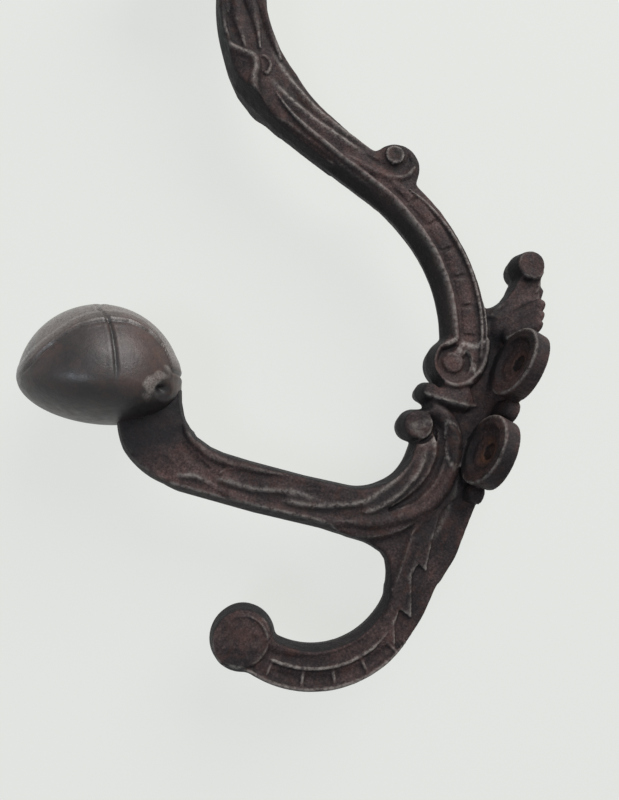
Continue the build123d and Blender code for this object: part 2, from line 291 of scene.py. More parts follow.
def lengths_along(places):
    """The distance along a line at each of its points: the sum of the steps up to it."""
    return np.concatenate([[0], np.cumsum(np.hypot(*np.diff(places, axis=0).T))])


def beside(line, margin=FAR):
    """For each map point near a line: the window, s along it, n off to its right, and the plain distance."""
    places, headings = line
    cut = window(places, min(margin, 400.0))
    f, u = F[cut].ravel(), U[cut].ravel()
    nearest = np.empty(f.size, int)
    for first in range(0, f.size, 20000):
        part = slice(first, first + 20000)
        away = (f[part, None] - places[None, :, 0]) ** 2 + (u[part, None] - places[None, :, 1]) ** 2
        nearest[part] = away.argmin(1)
    along = lengths_along(places)
    df, du = f - places[nearest, 0], u - places[nearest, 1]
    c, s = np.cos(headings[nearest]), np.sin(headings[nearest])
    ahead, right = df * c + du * s, df * s - du * c
    shape = F[cut].shape
    where = (along[nearest] + ahead).reshape(shape)
    over = np.maximum(0, np.maximum(-where, where - along[-1]))
    right = right.reshape(shape)
    return cut, where, right, np.hypot(right, over), along[-1]


def disc(middle, radius):
    """The distance of each map point from a circle, negative inside."""
    return np.hypot(F - middle[0], U - middle[1]) - radius


def polygon(*corners):
    """The distance of each map point from a polygon's edge, negative inside."""
    far = np.full(F.shape, FAR)
    inside = np.zeros(F.shape, bool)
    for (af, au), (bf, bu) in zip(corners, corners[1:] + corners[:1]):
        ef, eu = bf - af, bu - au
        t = np.clip(((F - af) * ef + (U - au) * eu) / (ef * ef + eu * eu), 0, 1)
        far = np.minimum(far, np.hypot(F - af - t * ef, U - au - t * eu))
        if au != bu:
            inside ^= ((U < au) != (U < bu)) & (F < af + (U - au) * ef / eu)
    return np.where(inside, -far, far)


def strip(line, right, left, start=0.0, stop=0.0):
    """An arm's outline: right and left give its half depths as (s, depth) pairs along the line."""
    _, s, n, _, length = beside(line)
    out = np.where(n > 0, n - np.interp(s, *zip(*right)), -n - np.interp(s, *zip(*left)))
    return np.maximum(out, np.maximum(start - s, s - length - stop)), s, n


# %% [markdown]
# ### The outline
# Each arm is a strip as deep as its pairs say, and corners or discs give the rest.

# %% Outline
upper_edge, upper_s, upper_n = strip(
    UPPER,
    [
        (0, 6.0), (17, 6.8), (40, 7.3), (63, 7.6), (97, 7.0), (108, 8.0), (118, 9.9), (126, 9.4), (145, 8.4),
        (169, 7.6)
    ],
    [
        (0, 7.4), (20, 7.3), (44, 6.0), (62, 5.5), (83, 5.9), (97, 7.4), (110, 8.8), (121, 8.4), (150, 8.2),
        (169, 7.8)
    ],
    start=-1, stop=-1,
)
lower_edge, lower_s, lower_n = strip(
    LOWER,
    [(0, 7.2), (27, 7.6), (40, 6.7), (60, 6.9), (82, 6.2), (86, 5.9), (92, 7.0), (97, 8.0), (117, 8.2)],
    [
        (0, 8.0), (20, 8.3), (48, 7.4), (65, 7.6), (73, 8.0), (77, 8.7), (81, 10.3), (86, 11.6), (95, 12.0),
        (103, 11.6), (108, 10.7), (117, 10.5)
    ],
    start=-9, stop=1,
)
tail_edge, _, tail_n = strip(
    TAIL, [(0, 8.4), (13, 7.6), (25, 6.6), (35, 5.6), (45, 5.9), (60, 6.3), (87, 6.4)], [(0, 6.4), (87, 6.4)],
    stop=1,
)
web_edge = polygon(
    (0, 31), (10.5, 31.5), (14.6, 29.4), (18.5, 27), (17.9, 12.4), (19.9, 10.1), (24.6, -12.6), (15.5, -21),
    (34, -46), (32, -50.4),
    (27.2, -50.9), (21, -52.3), (18.8, -53.9), (17.0, -57), (14.8, -62), (8.9, -66), (0, -44),
)
crest_eye = disc((7.3, 49.3), 5.4)
crest_edge = smaller(
    polygon(
        (0, 28), (1.9, 49.3), (7.3, 49.3), (9.8, 44), (10.2, 40), (11.4, 36), (13.6, 32), (15, 28)
    ), crest_eye, 1.0
)
scroll_edge = np.minimum(disc((19.9, 10.1), 8.1), disc((24.6, -12.8), 5.2))
lobe_edge = disc((24.4, -1.6), 3.4)
boss_edge = disc((58.9, 62.0), 8.4)
curl_edge = disc((50.6, -88.5), 9.4)
EDGE = smaller(smaller(upper_edge, boss_edge, 2.5), crest_edge, 7.0)
EDGE = smaller(EDGE, smaller(lower_edge, smaller(scroll_edge, lobe_edge, 0.8), 0.8), 2.0)
EDGE = smaller(smaller(EDGE, web_edge, 3.0), smaller(tail_edge, curl_edge, 1.0), 3.0)
print("outline covers", round(float((EDGE < 0).mean() * F.size * GRAIN**2)), "square millimetres")

# %% [markdown]
# ### The side face before carving
# Every member stands a little higher than the web, and the arms and the tail have a low crown.

# %% Side face
def lift(level, edge, fall=1.1, keep=0.6):
    """A member's side face: level inside its outline and falling away outside it."""
    return level - fall * np.maximum(edge + keep, 0)


arm_crown = 5.2 + 0.5 * (1 - (upper_n / 8) ** 2)
calyx_swell = 1.3 * np.clip((upper_s - 104) / 14, 0, 1)
HIGH = np.full(F.shape, 3.8)
HIGH = larger(HIGH, lift(arm_crown + calyx_swell, upper_edge, fall=1.3), 0.8)
HIGH = larger(HIGH, lift(5.4 + 0.4 * (1 - (lower_n / 8) ** 2), lower_edge), 0.8)
HIGH = larger(HIGH, lift(4.9 + 0.2 * (1 - (tail_n / 8) ** 2), tail_edge), 0.8)
HIGH = larger(HIGH, lift(5.0, crest_edge), 0.8)
HIGH = larger(HIGH, lift(5.6, crest_eye, fall=1.6, keep=0.2), 0.5)
HIGH = larger(HIGH, lift(5.6, scroll_edge, fall=1.6, keep=0.3), 0.5)
HIGH = larger(HIGH, lift(5.4, lobe_edge, fall=1.4, keep=0.3), 0.5)
HIGH = larger(HIGH, lift(5.8, boss_edge, fall=1.6, keep=0.3), 0.5)
HIGH = larger(HIGH, lift(6.2, disc((51.6, -87.6), 8.4), fall=1.8, keep=0.3), 0.5)
print("side face", HIGH.min().round(1), "to", HIGH.max().round(1))

# %% [markdown]
# ### The carver's tools
# A cord, a blade and a pad stand up from the side face. A channel, a dish and a shelf are sunk into it, and a
# flank slopes away to an arm's edge.

# %% Tools
RUB, SHADE = np.zeros(F.shape), np.zeros(F.shape)


def thinned(s, length, tips, least):
    """The share of full width at s: least at a line's ends, rising to 1 over the length of each tip."""
    ends = np.minimum((s + 0.01) / max(tips[0], 0.01), (length - s + 0.01) / max(tips[1], 0.01))
    return np.clip(least + (1 - least) * ends, least, 1)


def cord(line, half, top, drop=1.5, tips=(1.5, 1.5), soft=0.15):
    """A raised round cord: HIGH rises to top on the line and is drop lower half a width away."""
    cut, s, _, away, length = beside(line, margin=2.5 * half)
    thin = thinned(s, length, tips, 0.35)
    HIGH[cut] = larger(HIGH[cut], top - drop * (away / (half * thin)) ** 2 - 0.6 * (1 - thin), soft)


def blade(line, right, left, top, drop=1.3, tips=(2, 6), soft=0.12, bulge=1.4):
    """A leaf's ridge: HIGH falls by drop over a width to the right of the line and another one to its left.

    RUB keeps the ridge itself and SHADE the foot of its steep side.
    """
    cut, s, n, away, length = beside(line, margin=1.8 * max(right, left))
    ends = np.clip(np.minimum((s + 0.2) / tips[0], (length - s + 0.2) / tips[1]), 0.12, 1)
    wide = np.where(n > 0, right, left) * ends
    HIGH[cut] = larger(HIGH[cut], top - drop * (away / wide) ** bulge - 0.8 * (1 - ends), soft)
    RUB[cut] = np.maximum(RUB[cut], ends * np.exp(-((away / 0.5) ** 2)))
    if right != left:
        steep = (n if right < left else -n) - 1.3
        SHADE[cut] = np.maximum(SHADE[cut], ends * np.exp(-((steep / 0.7) ** 2)) * (s > 0) * (s < length))


def sink(line, half, floor, rise=1.6, tips=(1.5, 1.5), soft=0.15):
    """A sunk channel: HIGH falls to floor on the line and is rise higher half a width away."""
    cut, s, _, away, length = beside(line, margin=3 * half)
    thin = thinned(s, length, tips, 0.3)
    HIGH[cut] = smaller(HIGH[cut], floor + rise * (away / (half * thin)) ** 2, soft)


def pad(middle, radius, top, fall=2.5, soft=0.25):
    """A flat round disc that stands up to top and falls away steeply outside its radius."""
    global HIGH
    HIGH = larger(HIGH, top - fall * np.maximum(disc(middle, radius), 0), soft)


def dish(middle, radius, floor, fall=2.0, soft=0.25):
    """A flat round recess with its floor at a height."""
    global HIGH
    HIGH = smaller(HIGH, floor + fall * np.maximum(disc(middle, radius), 0), soft)


def offset(line, *pairs):
    """A line beside another one: pairs give (s, n) with n to the right, smooth in between."""
    places, headings = line
    along = lengths_along(places)
    s, n = np.array(pairs, float).T
    t = np.arange(s[0], s[-1], 0.5)
    off = np.interp(t, s, n)
    off = np.convolve(np.pad(off, 4, mode="edge"), np.ones(9) / 9, "valid")
    h = np.interp(t, along, headings)
    p = np.stack([np.interp(t, along, places[:, k]) for k in (0, 1)], 1)
    p = p + off[:, None] * np.stack([np.sin(h), -np.cos(h)], 1)
    ahead = np.gradient(p, axis=0)
    return p, np.arctan2(ahead[:, 1], ahead[:, 0])


def flank(line, *pairs, slope=2.3, foot=0.5, start=-1.0, stop=200.0):
    """Lets the side face fall to foot towards an arm's right edge, from start to stop.

    pairs give the edge as (s, n), and slope is the fall for each millimetre towards it.
    """
    cut, s, n, _, _ = beside(line, margin=16)
    edge = np.interp(s, *zip(*pairs))
    low = foot + slope * np.maximum(edge - n, 0) + np.clip(start + 8 - s, 0, 8) + 0.8 * np.maximum(s - stop, 0)
    HIGH[cut] = np.where((n > 0) & (s > start), smaller(HIGH[cut], low, 0.6), HIGH[cut])


def shelf(floor, *corners, slope=3.0, soft=0.15):
    """Sinks the side face to floor inside a polygon, with a steep step at the polygon's edge."""
    global HIGH
    HIGH = smaller(HIGH, floor + slope * np.maximum(polygon(*corners), 0), soft)


print("the tools work on a side face of", round(float((EDGE < 0).mean() * 100)), "percent of the maps")

# %% [markdown]
# ### The upper arm
# Two cords edge it, and panels lie between them. Higher up a long leaf wraps it, and a fluted calyx holds the
# knob. In front the arm's flank slopes away from the cord to the parting line.

# %% Upper arm
flank(
    UPPER, (0, 6.9), (17, 7.0), (40, 7.5), (63, 7.8), (90, 7.5), (97, 7.6), (108, 8.6), (118, 10.6),
    (126, 10.2), (145, 9.2), (169, 8.4), stop=100
)
cord(
    offset(UPPER, (5, 3.3), (15, 3.6), (34, 3.9), (50, 4.4), (66, 4.1), (81, 3.7), (96, 2.9), (109, 1.6)), 1.35,
    6.9, tips=(0.5, 16)
)
cord(
    offset(UPPER, (0, -5.0), (12, -5.0), (28, -4.6), (40, -3.7), (50, -2.6), (60, -1.2)), 1.0, 6.6,
    tips=(0.5, 8)
)
cord(offset(UPPER, (6, -6.7), (25, -6.4), (38, -5.8), (50, -4.6)), 0.6, 5.9, drop=1.0, tips=(3, 3))
for step in range(6):
    turned = 7.2 + 9.2 * step
    start, _ = follow(UPPER_START, UPPER_HEADING, [("arc", UPPER_BOW, -turned)])
    bar = follow(tuple(start[-1]), UPPER_HEADING - turned, [("arc", UPPER_BOW, -7.8)])
    wide = (1.9, 1.9, 2.0, 2.0, 1.7, 1.1)[step]
    shift = (0.9, 0.6, 0.4, 0.2, 0.1, -0.2)[step]
    cut, s, n, _, length = beside(bar, margin=4)
    boxed = np.maximum(np.abs(n + shift) - wide, np.maximum(-s, s - length))
    HIGH[cut] = larger(HIGH[cut], 6.3 - 0.08 * (n + shift) ** 2 - 1.8 * np.maximum(boxed, 0), 0.2)
cord(offset(UPPER, (58, -0.2), (66, 0.4), (76, 1.0)), 1.3, 6.2, drop=0.8, tips=(5, 7))

cord(
    curve((80, 57.8), (73.4, 58), (66.9, 57.3), (59.9, 57.4), (55.2, 59.8), (53.4, 64)), 1.5, 6.6, drop=0.9,
    tips=(10, 3)
)
sink(curve((69, 61), (63.5, 60.2), (58, 60.8), (56, 64), (56.6, 67)), 1.6, 5.3, rise=0.7, tips=(5, 3))
pad((60.8, 64.8), 2.9, 6.9, fall=3.5)

blade(
    curve((69, 61.2), (80, 63.4), (89, 65.4), (98.6, 68.6), (107.5, 72.2)), 3.6, 1.0, 6.4, drop=0.9,
    tips=(8, 8), bulge=1.1
)
blade(
    curve((67, 63.6), (77.4, 65.4), (89.9, 69.2), (101.6, 75.2), (109.4, 80.4)), 2.6, 0.9, 6.4, drop=0.9,
    tips=(8, 6), bulge=1.1
)

fold = curve(
    (97.5, 55.2), (103.5, 59.6), (108, 64.2), (110.4, 68.6), (111.2, 72.6), (113.2, 75.2), (117.4, 75.2),
    (121, 75.4), (125.4, 77.2)
)
cord(fold, 1.8, 8.8, drop=1.5, tips=(10, 1))
blade(fold, 5.0, 1.6, 8.1, drop=1.5, tips=(8, 1), bulge=1.1)
for wide, flute in (
    (2.9, ((126.6, 93), (123.4, 87), (120.2, 82.2), (116.4, 77))),
    (2.6, ((122.6, 95), (118.6, 89.4), (115.4, 84.6), (112.6, 79.4))),
    (2.9, ((118, 96), (113.8, 89.6), (109.8, 84.2), (105.4, 78.6))),
    (2.7, ((131.5, 91.6), (128.2, 85.8), (125.2, 81), (121.6, 76.8))),
):
    cord(curve(*flute), wide, 8.1, drop=1.9, tips=(0.1, 13))
for n in (5.4, 1.9, -1.6, -5.1):
    cord(offset(UPPER, (136, n), (168, n)), 2.4, 8.1, drop=1.9, tips=(4, 1))
cord(curve((112.4, 76.6), (109.8, 77.2), (107.4, 75.4), (107.4, 72.6), (109.4, 72.8)), 0.9, 7.6, drop=1.2)
print("upper arm: side face", HIGH[upper_edge < 0].min().round(1), "to", HIGH[upper_edge < 0].max().round(1))

# %% [markdown]
# ### The scrolls at the root
# The upper arm's cord closes into a ring round a comma-shaped eye. Below it a wedge-shaped leaf rolls over, and
# the lower arm starts as a second scroll, whose bead rolls up into its eye.

# %% Root scrolls
ROOT = (20.4, 9.8)
dish(ROOT, 5.0, 4.6, soft=0.3)
cord(
    curve((22.4, 18.6), (22.6, 16.4), (24.4, 14.4), (26.6, 12.6), (27.2, 9.4), (26, 5.6), (22.4, 2.9),
    (17.6, 2.9), (13.6, 6.3), (12, 11), (12.2, 16.5), (13.4, 21)), 1.35, 6.8, tips=(1, 1)
)
pad((20.7, 9.4), 2.8, 6.2, fall=1.5, soft=0.6)
blade(curve((19.6, 17.6), (19.6, 15), (20.2, 11.4)), 1.9, 1.9, 6.3, drop=1.2, tips=(2, 0.5), bulge=2)

sink(curve((27, -5.4), (20.6, -5.0), (14, -4.0), (9, -2.4)), 1.3, 3.4, rise=1.2, tips=(1, 1))
blade(
    curve((28.2, -4.0), (25.5, -3.3), (20.6, -2.9), (14, -2.1), (9.6, -0.8)), 5.2, 0.6, 6.8, drop=1.0,
    tips=(0.3, 3), bulge=0.9, soft=0.08
)
cord(curve((27.6, 0.6), (28.6, -1.4), (28.2, -3.4)), 0.9, 6.5, drop=1.0, tips=(0.5, 0.5))

EYE = (24.7, -12.8)
sink(
    curve((9.8, 10), (8.4, 3), (7.8, -4), (7, -12), (6.4, -20), (7.2, -29), (10, -37), (14, -44)), 2.8, 4.5,
    rise=0.8, tips=(3, 12), soft=0.9
)
cord(
    curve((29.4, -14), (28.2, -10), (25.6, -7.9), (22.4, -6.9), (18.3, -7.1), (14.0, -10.2), (11.2, -15.6),
    (10.3, -22), (11.4, -29.6), (15.2, -36), (21, -41.2), (28, -45.2), (38.5, -48.6)), 2.0, 6.9, drop=1.2,
    tips=(3, 8)
)
cord(
    curve((27, -45), (38.5, -48.8), (50, -50.8), (61.2, -51.9), (71, -52.2), (80, -50.8)), 1.9, 6.4, drop=1.0,
    tips=(4, 14)
)
sink(
    curve((22.4, -9.8), (18.2, -11.4), (15.6, -15.6), (14.6, -21), (15.4, -27.4), (18.6, -34), (24, -39.8)),
    1.3, 4.3, rise=0.9, tips=(1, 9)
)
sink(curve((21.4, -10.4), (18.8, -12), (17.2, -15)), 1.2, 3.2, rise=1.6, tips=(1, 3))
pad(EYE, 4.4, 6.6, fall=2.2, soft=0.4)
sink(ring(EYE, 5.5, 140, 105), 0.7, 4.2, rise=1.4, tips=(2, 1))
print("root scrolls: side face up to", HIGH[scroll_edge < 0].max().round(1))

# %% [markdown]
# ### The lower arm
# Layered leaves run along it. Each has a bright ridge that is steep below, and a scooped tip.

# %% Lower arm
flank(
    LOWER, (20, 7.4), (27, 7.6), (40, 7.0), (60, 7.2), (82, 6.6), (90, 7.2), (98, 8.6), (117, 9.2), slope=2.4,
    start=30
)
cord(
    offset(LOWER, (-6, -5.6), (10, -5.8), (24, -5.8), (40, -5.4), (60, -5.6), (76, -5.6)), 2.8, 6.2, drop=0.8,
    tips=(2, 8)
)
blade(
    curve((19.5, -18.4), (19.2, -22.6), (20.2, -28.4), (23, -34.6), (27, -40), (31.4, -43.6)), 0.9, 5.6, 6.8,
    drop=0.9, tips=(5, 1.5), bulge=1.0
)
blade(
    curve((22.6, -20), (23.6, -26), (26.6, -33), (32.1, -40.2), (38, -43.6), (46, -46.9), (54.4, -48.5)), 0.9,
    5.0, 6.7, drop=0.8, tips=(7, 1.5), bulge=1.0
)
blade(
    curve((44, -45), (50.3, -44.8), (57, -46.4), (64, -48.5), (74.4, -49.3)), 0.9, 4.4, 6.6, drop=0.7,
    tips=(6, 1.5), bulge=1.0
)
cord(curve((31.3, -43.4), (31.9, -40.4), (31, -38)), 0.6, 6.5, drop=1.0, tips=(0.3, 2))
cord(
    curve((52, -43.4), (58, -42.2), (63, -42.9), (69, -44.5), (73, -46.4), (74.4, -48.4)), 0.8, 6.4, drop=1.0,
    tips=(8, 0.5)
)
cord(
    curve((35, -40.4), (41, -40.6), (47, -42.4), (52, -44.4), (54.4, -47.4)), 0.8, 6.3, drop=1.0, tips=(8, 0.5)
)
cord(
    curve((55.6, -41.4), (67.5, -43.4), (76, -44.2), (82, -42.8), (86.4, -40.2), (88.6, -35.6)), 1.5, 6.8,
    drop=1.1, tips=(8, 2)
)
sink(curve((78, -47.4), (83, -46.4), (87, -43.6)), 1.8, 5.1, rise=0.7, tips=(4, 3))
blade(curve((74, -51.6), (80, -51), (85.4, -52.6)), 1.4, 3.0, 6.4, drop=0.9, tips=(5, 2))
cord(
    curve((93, -51), (92, -48.8), (89.4, -48.2), (86.6, -50.4), (85.8, -53), (88, -54.6), (91, -54),
    (92.8, -52)), 0.9, 6.05, drop=0.4, tips=(1, 1)
)
print("lower arm: side face", HIGH[lower_edge < 0].min().round(1), "to", HIGH[lower_edge < 0].max().round(1))

# %% [markdown]
# ### The tail and its curl
# A leaf with a saw edge lies on the tail, one step above its back. The curl has sunk panels between two cords.

# %% Tail and curl
blade(curve((7.4, -20.3), (6.6, -28), (7.2, -35), (8.4, -43.4)), 3.0, 3.0, 5.2, drop=0.7, tips=(8, 4))
cord(
    curve((15.4, -61), (16.9, -68.4), (21, -75.8), (27.4, -81.6), (35, -85.2), (41.6, -86), (46.6, -84.2)), 2.0,
    6.2, drop=0.8, tips=(14, 2)
)
HIGH = larger(HIGH, 5.5 - 1.2 * np.maximum(polygon(
    (8.4, -40), (12, -48), (13.6, -60), (14.6, -68), (14.4, -74), (12.4, -78), (9.4, -74.6), (11.1, -66),
    (6.9, -66.6), (10.4, -52), (7.4, -52.6)), 0), 0.5)
sink(curve((12.6, -46), (13.2, -54), (13.6, -61), (15, -68)), 1.3, 4.9, rise=0.6, tips=(6, 4))
shelf(
    4.5, (8.6, -34), (8.6, -42), (7.2, -52.8), (10.2, -51.6), (10.9, -55), (6.7, -66.8), (11.0, -65.6),
    (10.9, -70), (9.2, -74), (7.5, -79), (-8, -79), (-8, -24), (3, -24)
)
cord(offset(TAIL, (33, -2.2), (44, -1.3), (56, -1.1), (70, -0.9), (78, -0.7)), 0.8, 6.1, drop=0.9, tips=(12, 1))
cord(offset(TAIL, (38, 4.4), (44, 4.4), (56, 4.5), (70, 4.8), (86, 5.0)), 0.9, 6.2, drop=1.0, tips=(8, 6))
sink(offset(TAIL, (41, 1.5), (48, 1.6), (60, 1.8), (76, 2.0)), 2.1, 4.7, rise=1.0, tips=(3, 3))
for s in (41.3, 50.2, 58.9, 67.3, 76.6):
    across = [tuple(offset(TAIL, (s, n), (s + 1, n))[0][0]) for n in (-0.9, 1.6, 4.0)]
    cord(curve(*across), 0.8, 5.7, drop=1.0, tips=(0.1, 0.1))
pad((50.6, -88.6), 6.8, 5.9, fall=1.5, soft=0.6)
cord(ring((50.7, -88.6), 7.0, 185, -170), 0.7, 6.7, drop=0.9, tips=(6, 8))
cord(ring((50.6, -88.5), 8.2, -75, 120), 0.7, 6.4, drop=0.9, tips=(2, 8))
print("tail: side face", HIGH[tail_edge < 0].min().round(1), "to", HIGH[tail_edge < 0].max().round(1))

# %% [markdown]
# ### The crest
# The back plate ends in a small scroll with a flat eye on a hollowed neck.

# %% Crest
cord(curve((1.9, 50), (2.3, 45.4), (3.2, 41.4), (5, 38)), 0.8, 5.9, drop=0.9, tips=(1, 5))
sink(curve((6.4, 44.6), (6.6, 40), (8.6, 36), (11, 31.6)), 3.2, 4.4, rise=0.7, tips=(1, 4), soft=0.5)
pad((7.1, 49.4), 4.5, 6.3, fall=3.0)
cord(ring((7.1, 49.4), 4.4, 60, 200), 0.45, 6.6, drop=0.5)
print("crest: side face", HIGH[crest_edge < 0].min().round(1), "to", HIGH[crest_edge < 0].max().round(1))

# %% [markdown]
# ### The mould's sand
# Seeded noise roughens the whole side face, and more so in the eyes of the scrolls.

# %% Sand
def sand(size, seed):
    """Seeded noise of a given grain on the maps, with a spread of 1."""
    made = blurred(np.random.default_rng(seed).standard_normal(F.shape), size)
    return made / made.std()


pitted = np.full(F.shape, 0.05)
for middle, radius in ((ROOT, 4.2), (EYE, 4.6), ((50.8, -88.6), 7.0)):
    pitted = np.maximum(pitted, 0.13 * np.clip((radius - np.hypot(F - middle[0], U - middle[1])) * 1.5, 0, 1))
cut, _, _, away, _ = beside(
    curve((22.4, -6.9), (14.0, -10.2), (11.2, -15.6), (10.3, -22), (11.4, -29.6), (15.2, -36), (21, -41.2)),
    margin=5
)
pitted[cut] = np.maximum(pitted[cut], 0.06 * np.clip(3.4 - away, 0, 1))
HIGH = HIGH + pitted * sand(0.4, 3) + 0.04 * sand(1.2, 5)
print("sandy side face, pits up to", round(float(pitted.max() * 2), 2), "mm")

# %% [markdown]
# ## The solid as one field
# `solid(side)` is negative in the metal. The walls lean by the mould's draft, and where a wall meets a side face
# the edge is rounded.

# %% Field
SIDE = np.arange(0.0, 26.2, GRAIN)
DRAFT = 0.16
LUG_REACH, LUG_SIDE, LUG_RISE, LEAN = 6.6, 14.4, 14.0, math.radians(9)
LUG_RADIUS, HOLE_RADIUS = 10.9, 2.6


def slab(x):
    """The arms, webs, scrolls and curl at distances x from the parting plane."""
    wall = EDGE[:, :, None] + DRAFT * x
    face = (x - HIGH[:, :, None]) * 0.9
    return larger(wall, face, 1.0)


def lug_place(reach, side, rise):
    """Where a point is on its lug: how far out along the lug's leaning axis, and how far off that axis."""
    ahead, aside, up = reach - LUG_REACH, side - LUG_SIDE, np.abs(rise) - LUG_RISE
    out = ahead * math.cos(LEAN) + aside * math.sin(LEAN)
    return out, np.sqrt(np.maximum(ahead**2 + aside**2 + up**2 - out**2, 0))


def lugs(x):
    """The four screw lugs: leaning discs, each dished round its hole."""
    out, off = lug_place(F[:, :, None], x, U[:, :, None])
    slope = np.clip((7.9 - off) / 1.5, 0, 1)
    hollow = 1.5 * slope * slope * (3 - 2 * slope) + 0.5 * np.clip((4.9 - off) / 0.6, 0, 1)
    hollow = hollow + 0.06 * np.sin(off * 5.2) * (off > 5) * (off < 10)
    return larger(off - LUG_RADIUS - 0.06 * out, (out + hollow) * 0.85, 0.6)


def capsule(x, u, half, radius, top, crown):
    """A lobe of the back plate: a bar across the hook with round ends and a crowned top."""
    across = np.sqrt(np.maximum(x - half, 0) ** 2 + u**2) - radius
    return across, top + crown * np.sqrt(np.clip(1 - (np.maximum(across + radius, 0) / radius) ** 2, 0, 1))


def fold_lobe(x, start, stop, thick, thin):
    """A tapering lobe between two places, each given as reach, rise and side."""
    f, u = F[:, :, None], U[:, :, None]
    ahead = [b - a for a, b in zip(start, stop)]
    t = (f - start[0]) * ahead[0] + (u - start[1]) * ahead[1] + (x - start[2]) * ahead[2]
    t = np.clip(t / sum(a * a for a in ahead), 0, 1)
    away = np.sqrt(
        (f - start[0] - t * ahead[0]) ** 2 + (u - start[1] - t * ahead[1]) ** 2
        + (x - start[2] - t * ahead[2]) ** 2
    )
    return away - thick - (thin - thick) * t


def plate(x):
    """The back plate: its foot, the lobes between the lugs and the leaf of three folds."""
    f, u = F[:, :, None], U[:, :, None]
    width = np.interp(
        U, (-54, -46, -36, -27, -14, 27, 34, 40), (3.0, 4.4, 5.8, 7.4, 9.0, 9.0, 6.5, 4.6)
    )[:, :, None]
    body = larger(x - width, np.maximum(u - 44, -54 - u), 1.2)
    body = larger(body, (x - width + 1.2 * np.maximum(f - 1.2, 0)) * 0.64, 1.2)
    body = larger(larger(body, f - 5.0, 1.0), EDGE[:, :, None] - 0.3 * np.maximum(u + 44, 0), 0.8)
    for rise, half, radius, top, crown in ((0.0, 12.8, 3.3, 2.8, 1.4), (-26.3, 8.2, 2.6, 3.4, 1.4)):
        across, height = capsule(x, u - rise, half, radius, top, crown)
        body = smaller(body, larger(across, f - height, 0.5), 0.6)
    for start, stop, thick, thin in (
        ((9.4, 25.5, 3.6), (1.6, 36.2, 7.6), 3.2, 2.4),
        ((7.0, 24.5, 6.4), (1.2, 32.2, 9.6), 2.8, 2.1),
        ((4.6, 24.5, 8.8), (1.0, 28.8, 11.0), 2.6, 1.8),
    ):
        body = smaller(body, fold_lobe(x, start, stop, thick, thin), 0.7)
    return body


def screw_holes(x):
    """The four holes, square to the wall."""
    return np.sqrt((x - LUG_SIDE) ** 2 + (np.abs(U)[:, :, None] - LUG_RISE) ** 2) - HOLE_RADIUS


def solid(x):
    """The whole casting without its knobs."""
    joined = smaller(smaller(slab(x), plate(x), 2.4), lugs(x), 0.8)
    return larger(larger(joined, 0.05 - F[:, :, None], 0.3), -screw_holes(x), 0.4)


half_field = np.concatenate(
    [solid(SIDE[k : k + 8][None, None, :]).astype(np.float32) for k in range(0, SIDE.size, 8)], axis=2
)
FIELD = np.concatenate([half_field[:, :, :0:-1], half_field], axis=2)
print("field of", FIELD.shape, "points")

# %% [markdown]
# ## The skin
# A skin of quads is drawn where the field is zero.

# %% Skin
def skin(field):
    """Surface nets: a vertex in each cell that the surface crosses, and a quad round each edge that it crosses.

    A cell's vertex is the mean of the points where the field is zero on the cell's twelve edges.
    """
    inside = field < 0
    count = sum(
        inside[
            a : a + inside.shape[0] - 1, b : b + inside.shape[1] - 1, c : c + inside.shape[2] - 1
        ].astype(np.int8)
        for a in (0, 1) for b in (0, 1) for c in (0, 1)
    )
    crossed = (count > 0) & (count < 8)
    cells = np.argwhere(crossed)
    number = np.full(crossed.shape, -1, np.int32)
    number[crossed] = np.arange(len(cells))
    total, hits = np.zeros((len(cells), 3)), np.zeros(len(cells))
    corners = np.array([(a, b, c) for a in (0, 1) for b in (0, 1) for c in (0, 1)])
    for first in corners:
        for axis in range(3):
            if first[axis]:
                continue
            second = first.copy()
            second[axis] = 1
            va, vb = field[tuple((cells + first).T)], field[tuple((cells + second).T)]
            split = (va < 0) != (vb < 0)
            t = va[split] / (va[split] - vb[split])
            total[split] += first + t[:, None] * (second - first)
            hits[split] += 1
    places = cells + total / hits[:, None]
    quads = []
    for axis in range(3):
        lo = [slice(None)] * 3
        hi = [slice(None)] * 3
        lo[axis], hi[axis] = slice(None, -1), slice(1, None)
        for inward in (True, False):
            a, b = inside[tuple(lo)], inside[tuple(hi)]
            e = np.argwhere((a & ~b) if inward else (~a & b))
            p, q = [k for k in range(3) if k != axis]
            steps = ((1, 1), (0, 1), (0, 0), (1, 0))
            around = []
            for sp, sq in steps:
                cell = e.copy()
                cell[:, p] -= sp
                cell[:, q] -= sq
                around.append(number[tuple(cell.T)])
            quad = np.stack(around, 1)
            flip = inward != (axis == 1)
            quads.append(quad if flip else quad[:, ::-1])
    return places, np.concatenate(quads)


places, quads = skin(FIELD)
points = np.stack([
    (places[:, 2] - (SIDE.size - 1)) * GRAIN,
    -(REACH[0] + places[:, 0] * GRAIN),
    RISE[0] + places[:, 1] * GRAIN,
], 1) / 1000
print("skin of", len(points), "points and", len(quads), "quads")

# %% [markdown]
# ## The casting
# The skin becomes a mesh, thinned to its share of triangles.

# %% Casting
def new_mesh(name, points, faces):
    """A mesh object from arrays of points and of quads or triangles."""
    mesh = bpy.data.meshes.new(name)
    mesh.vertices.add(len(points))
    mesh.vertices.foreach_set("co", np.asarray(points, np.float32).ravel())
    corners = faces.shape[1]
    mesh.loops.add(faces.size)
    mesh.loops.foreach_set("vertex_index", faces.astype(np.int32).ravel())
    mesh.polygons.add(len(faces))
    mesh.polygons.foreach_set("loop_start", np.arange(0, faces.size, corners, dtype=np.int32))
    mesh.polygons.foreach_set("use_smooth", np.ones(len(faces), bool))
    mesh.update(calc_edges=True)
    made = bpy.data.objects.new(name, mesh)
    bpy.context.scene.collection.objects.link(made)
    return made


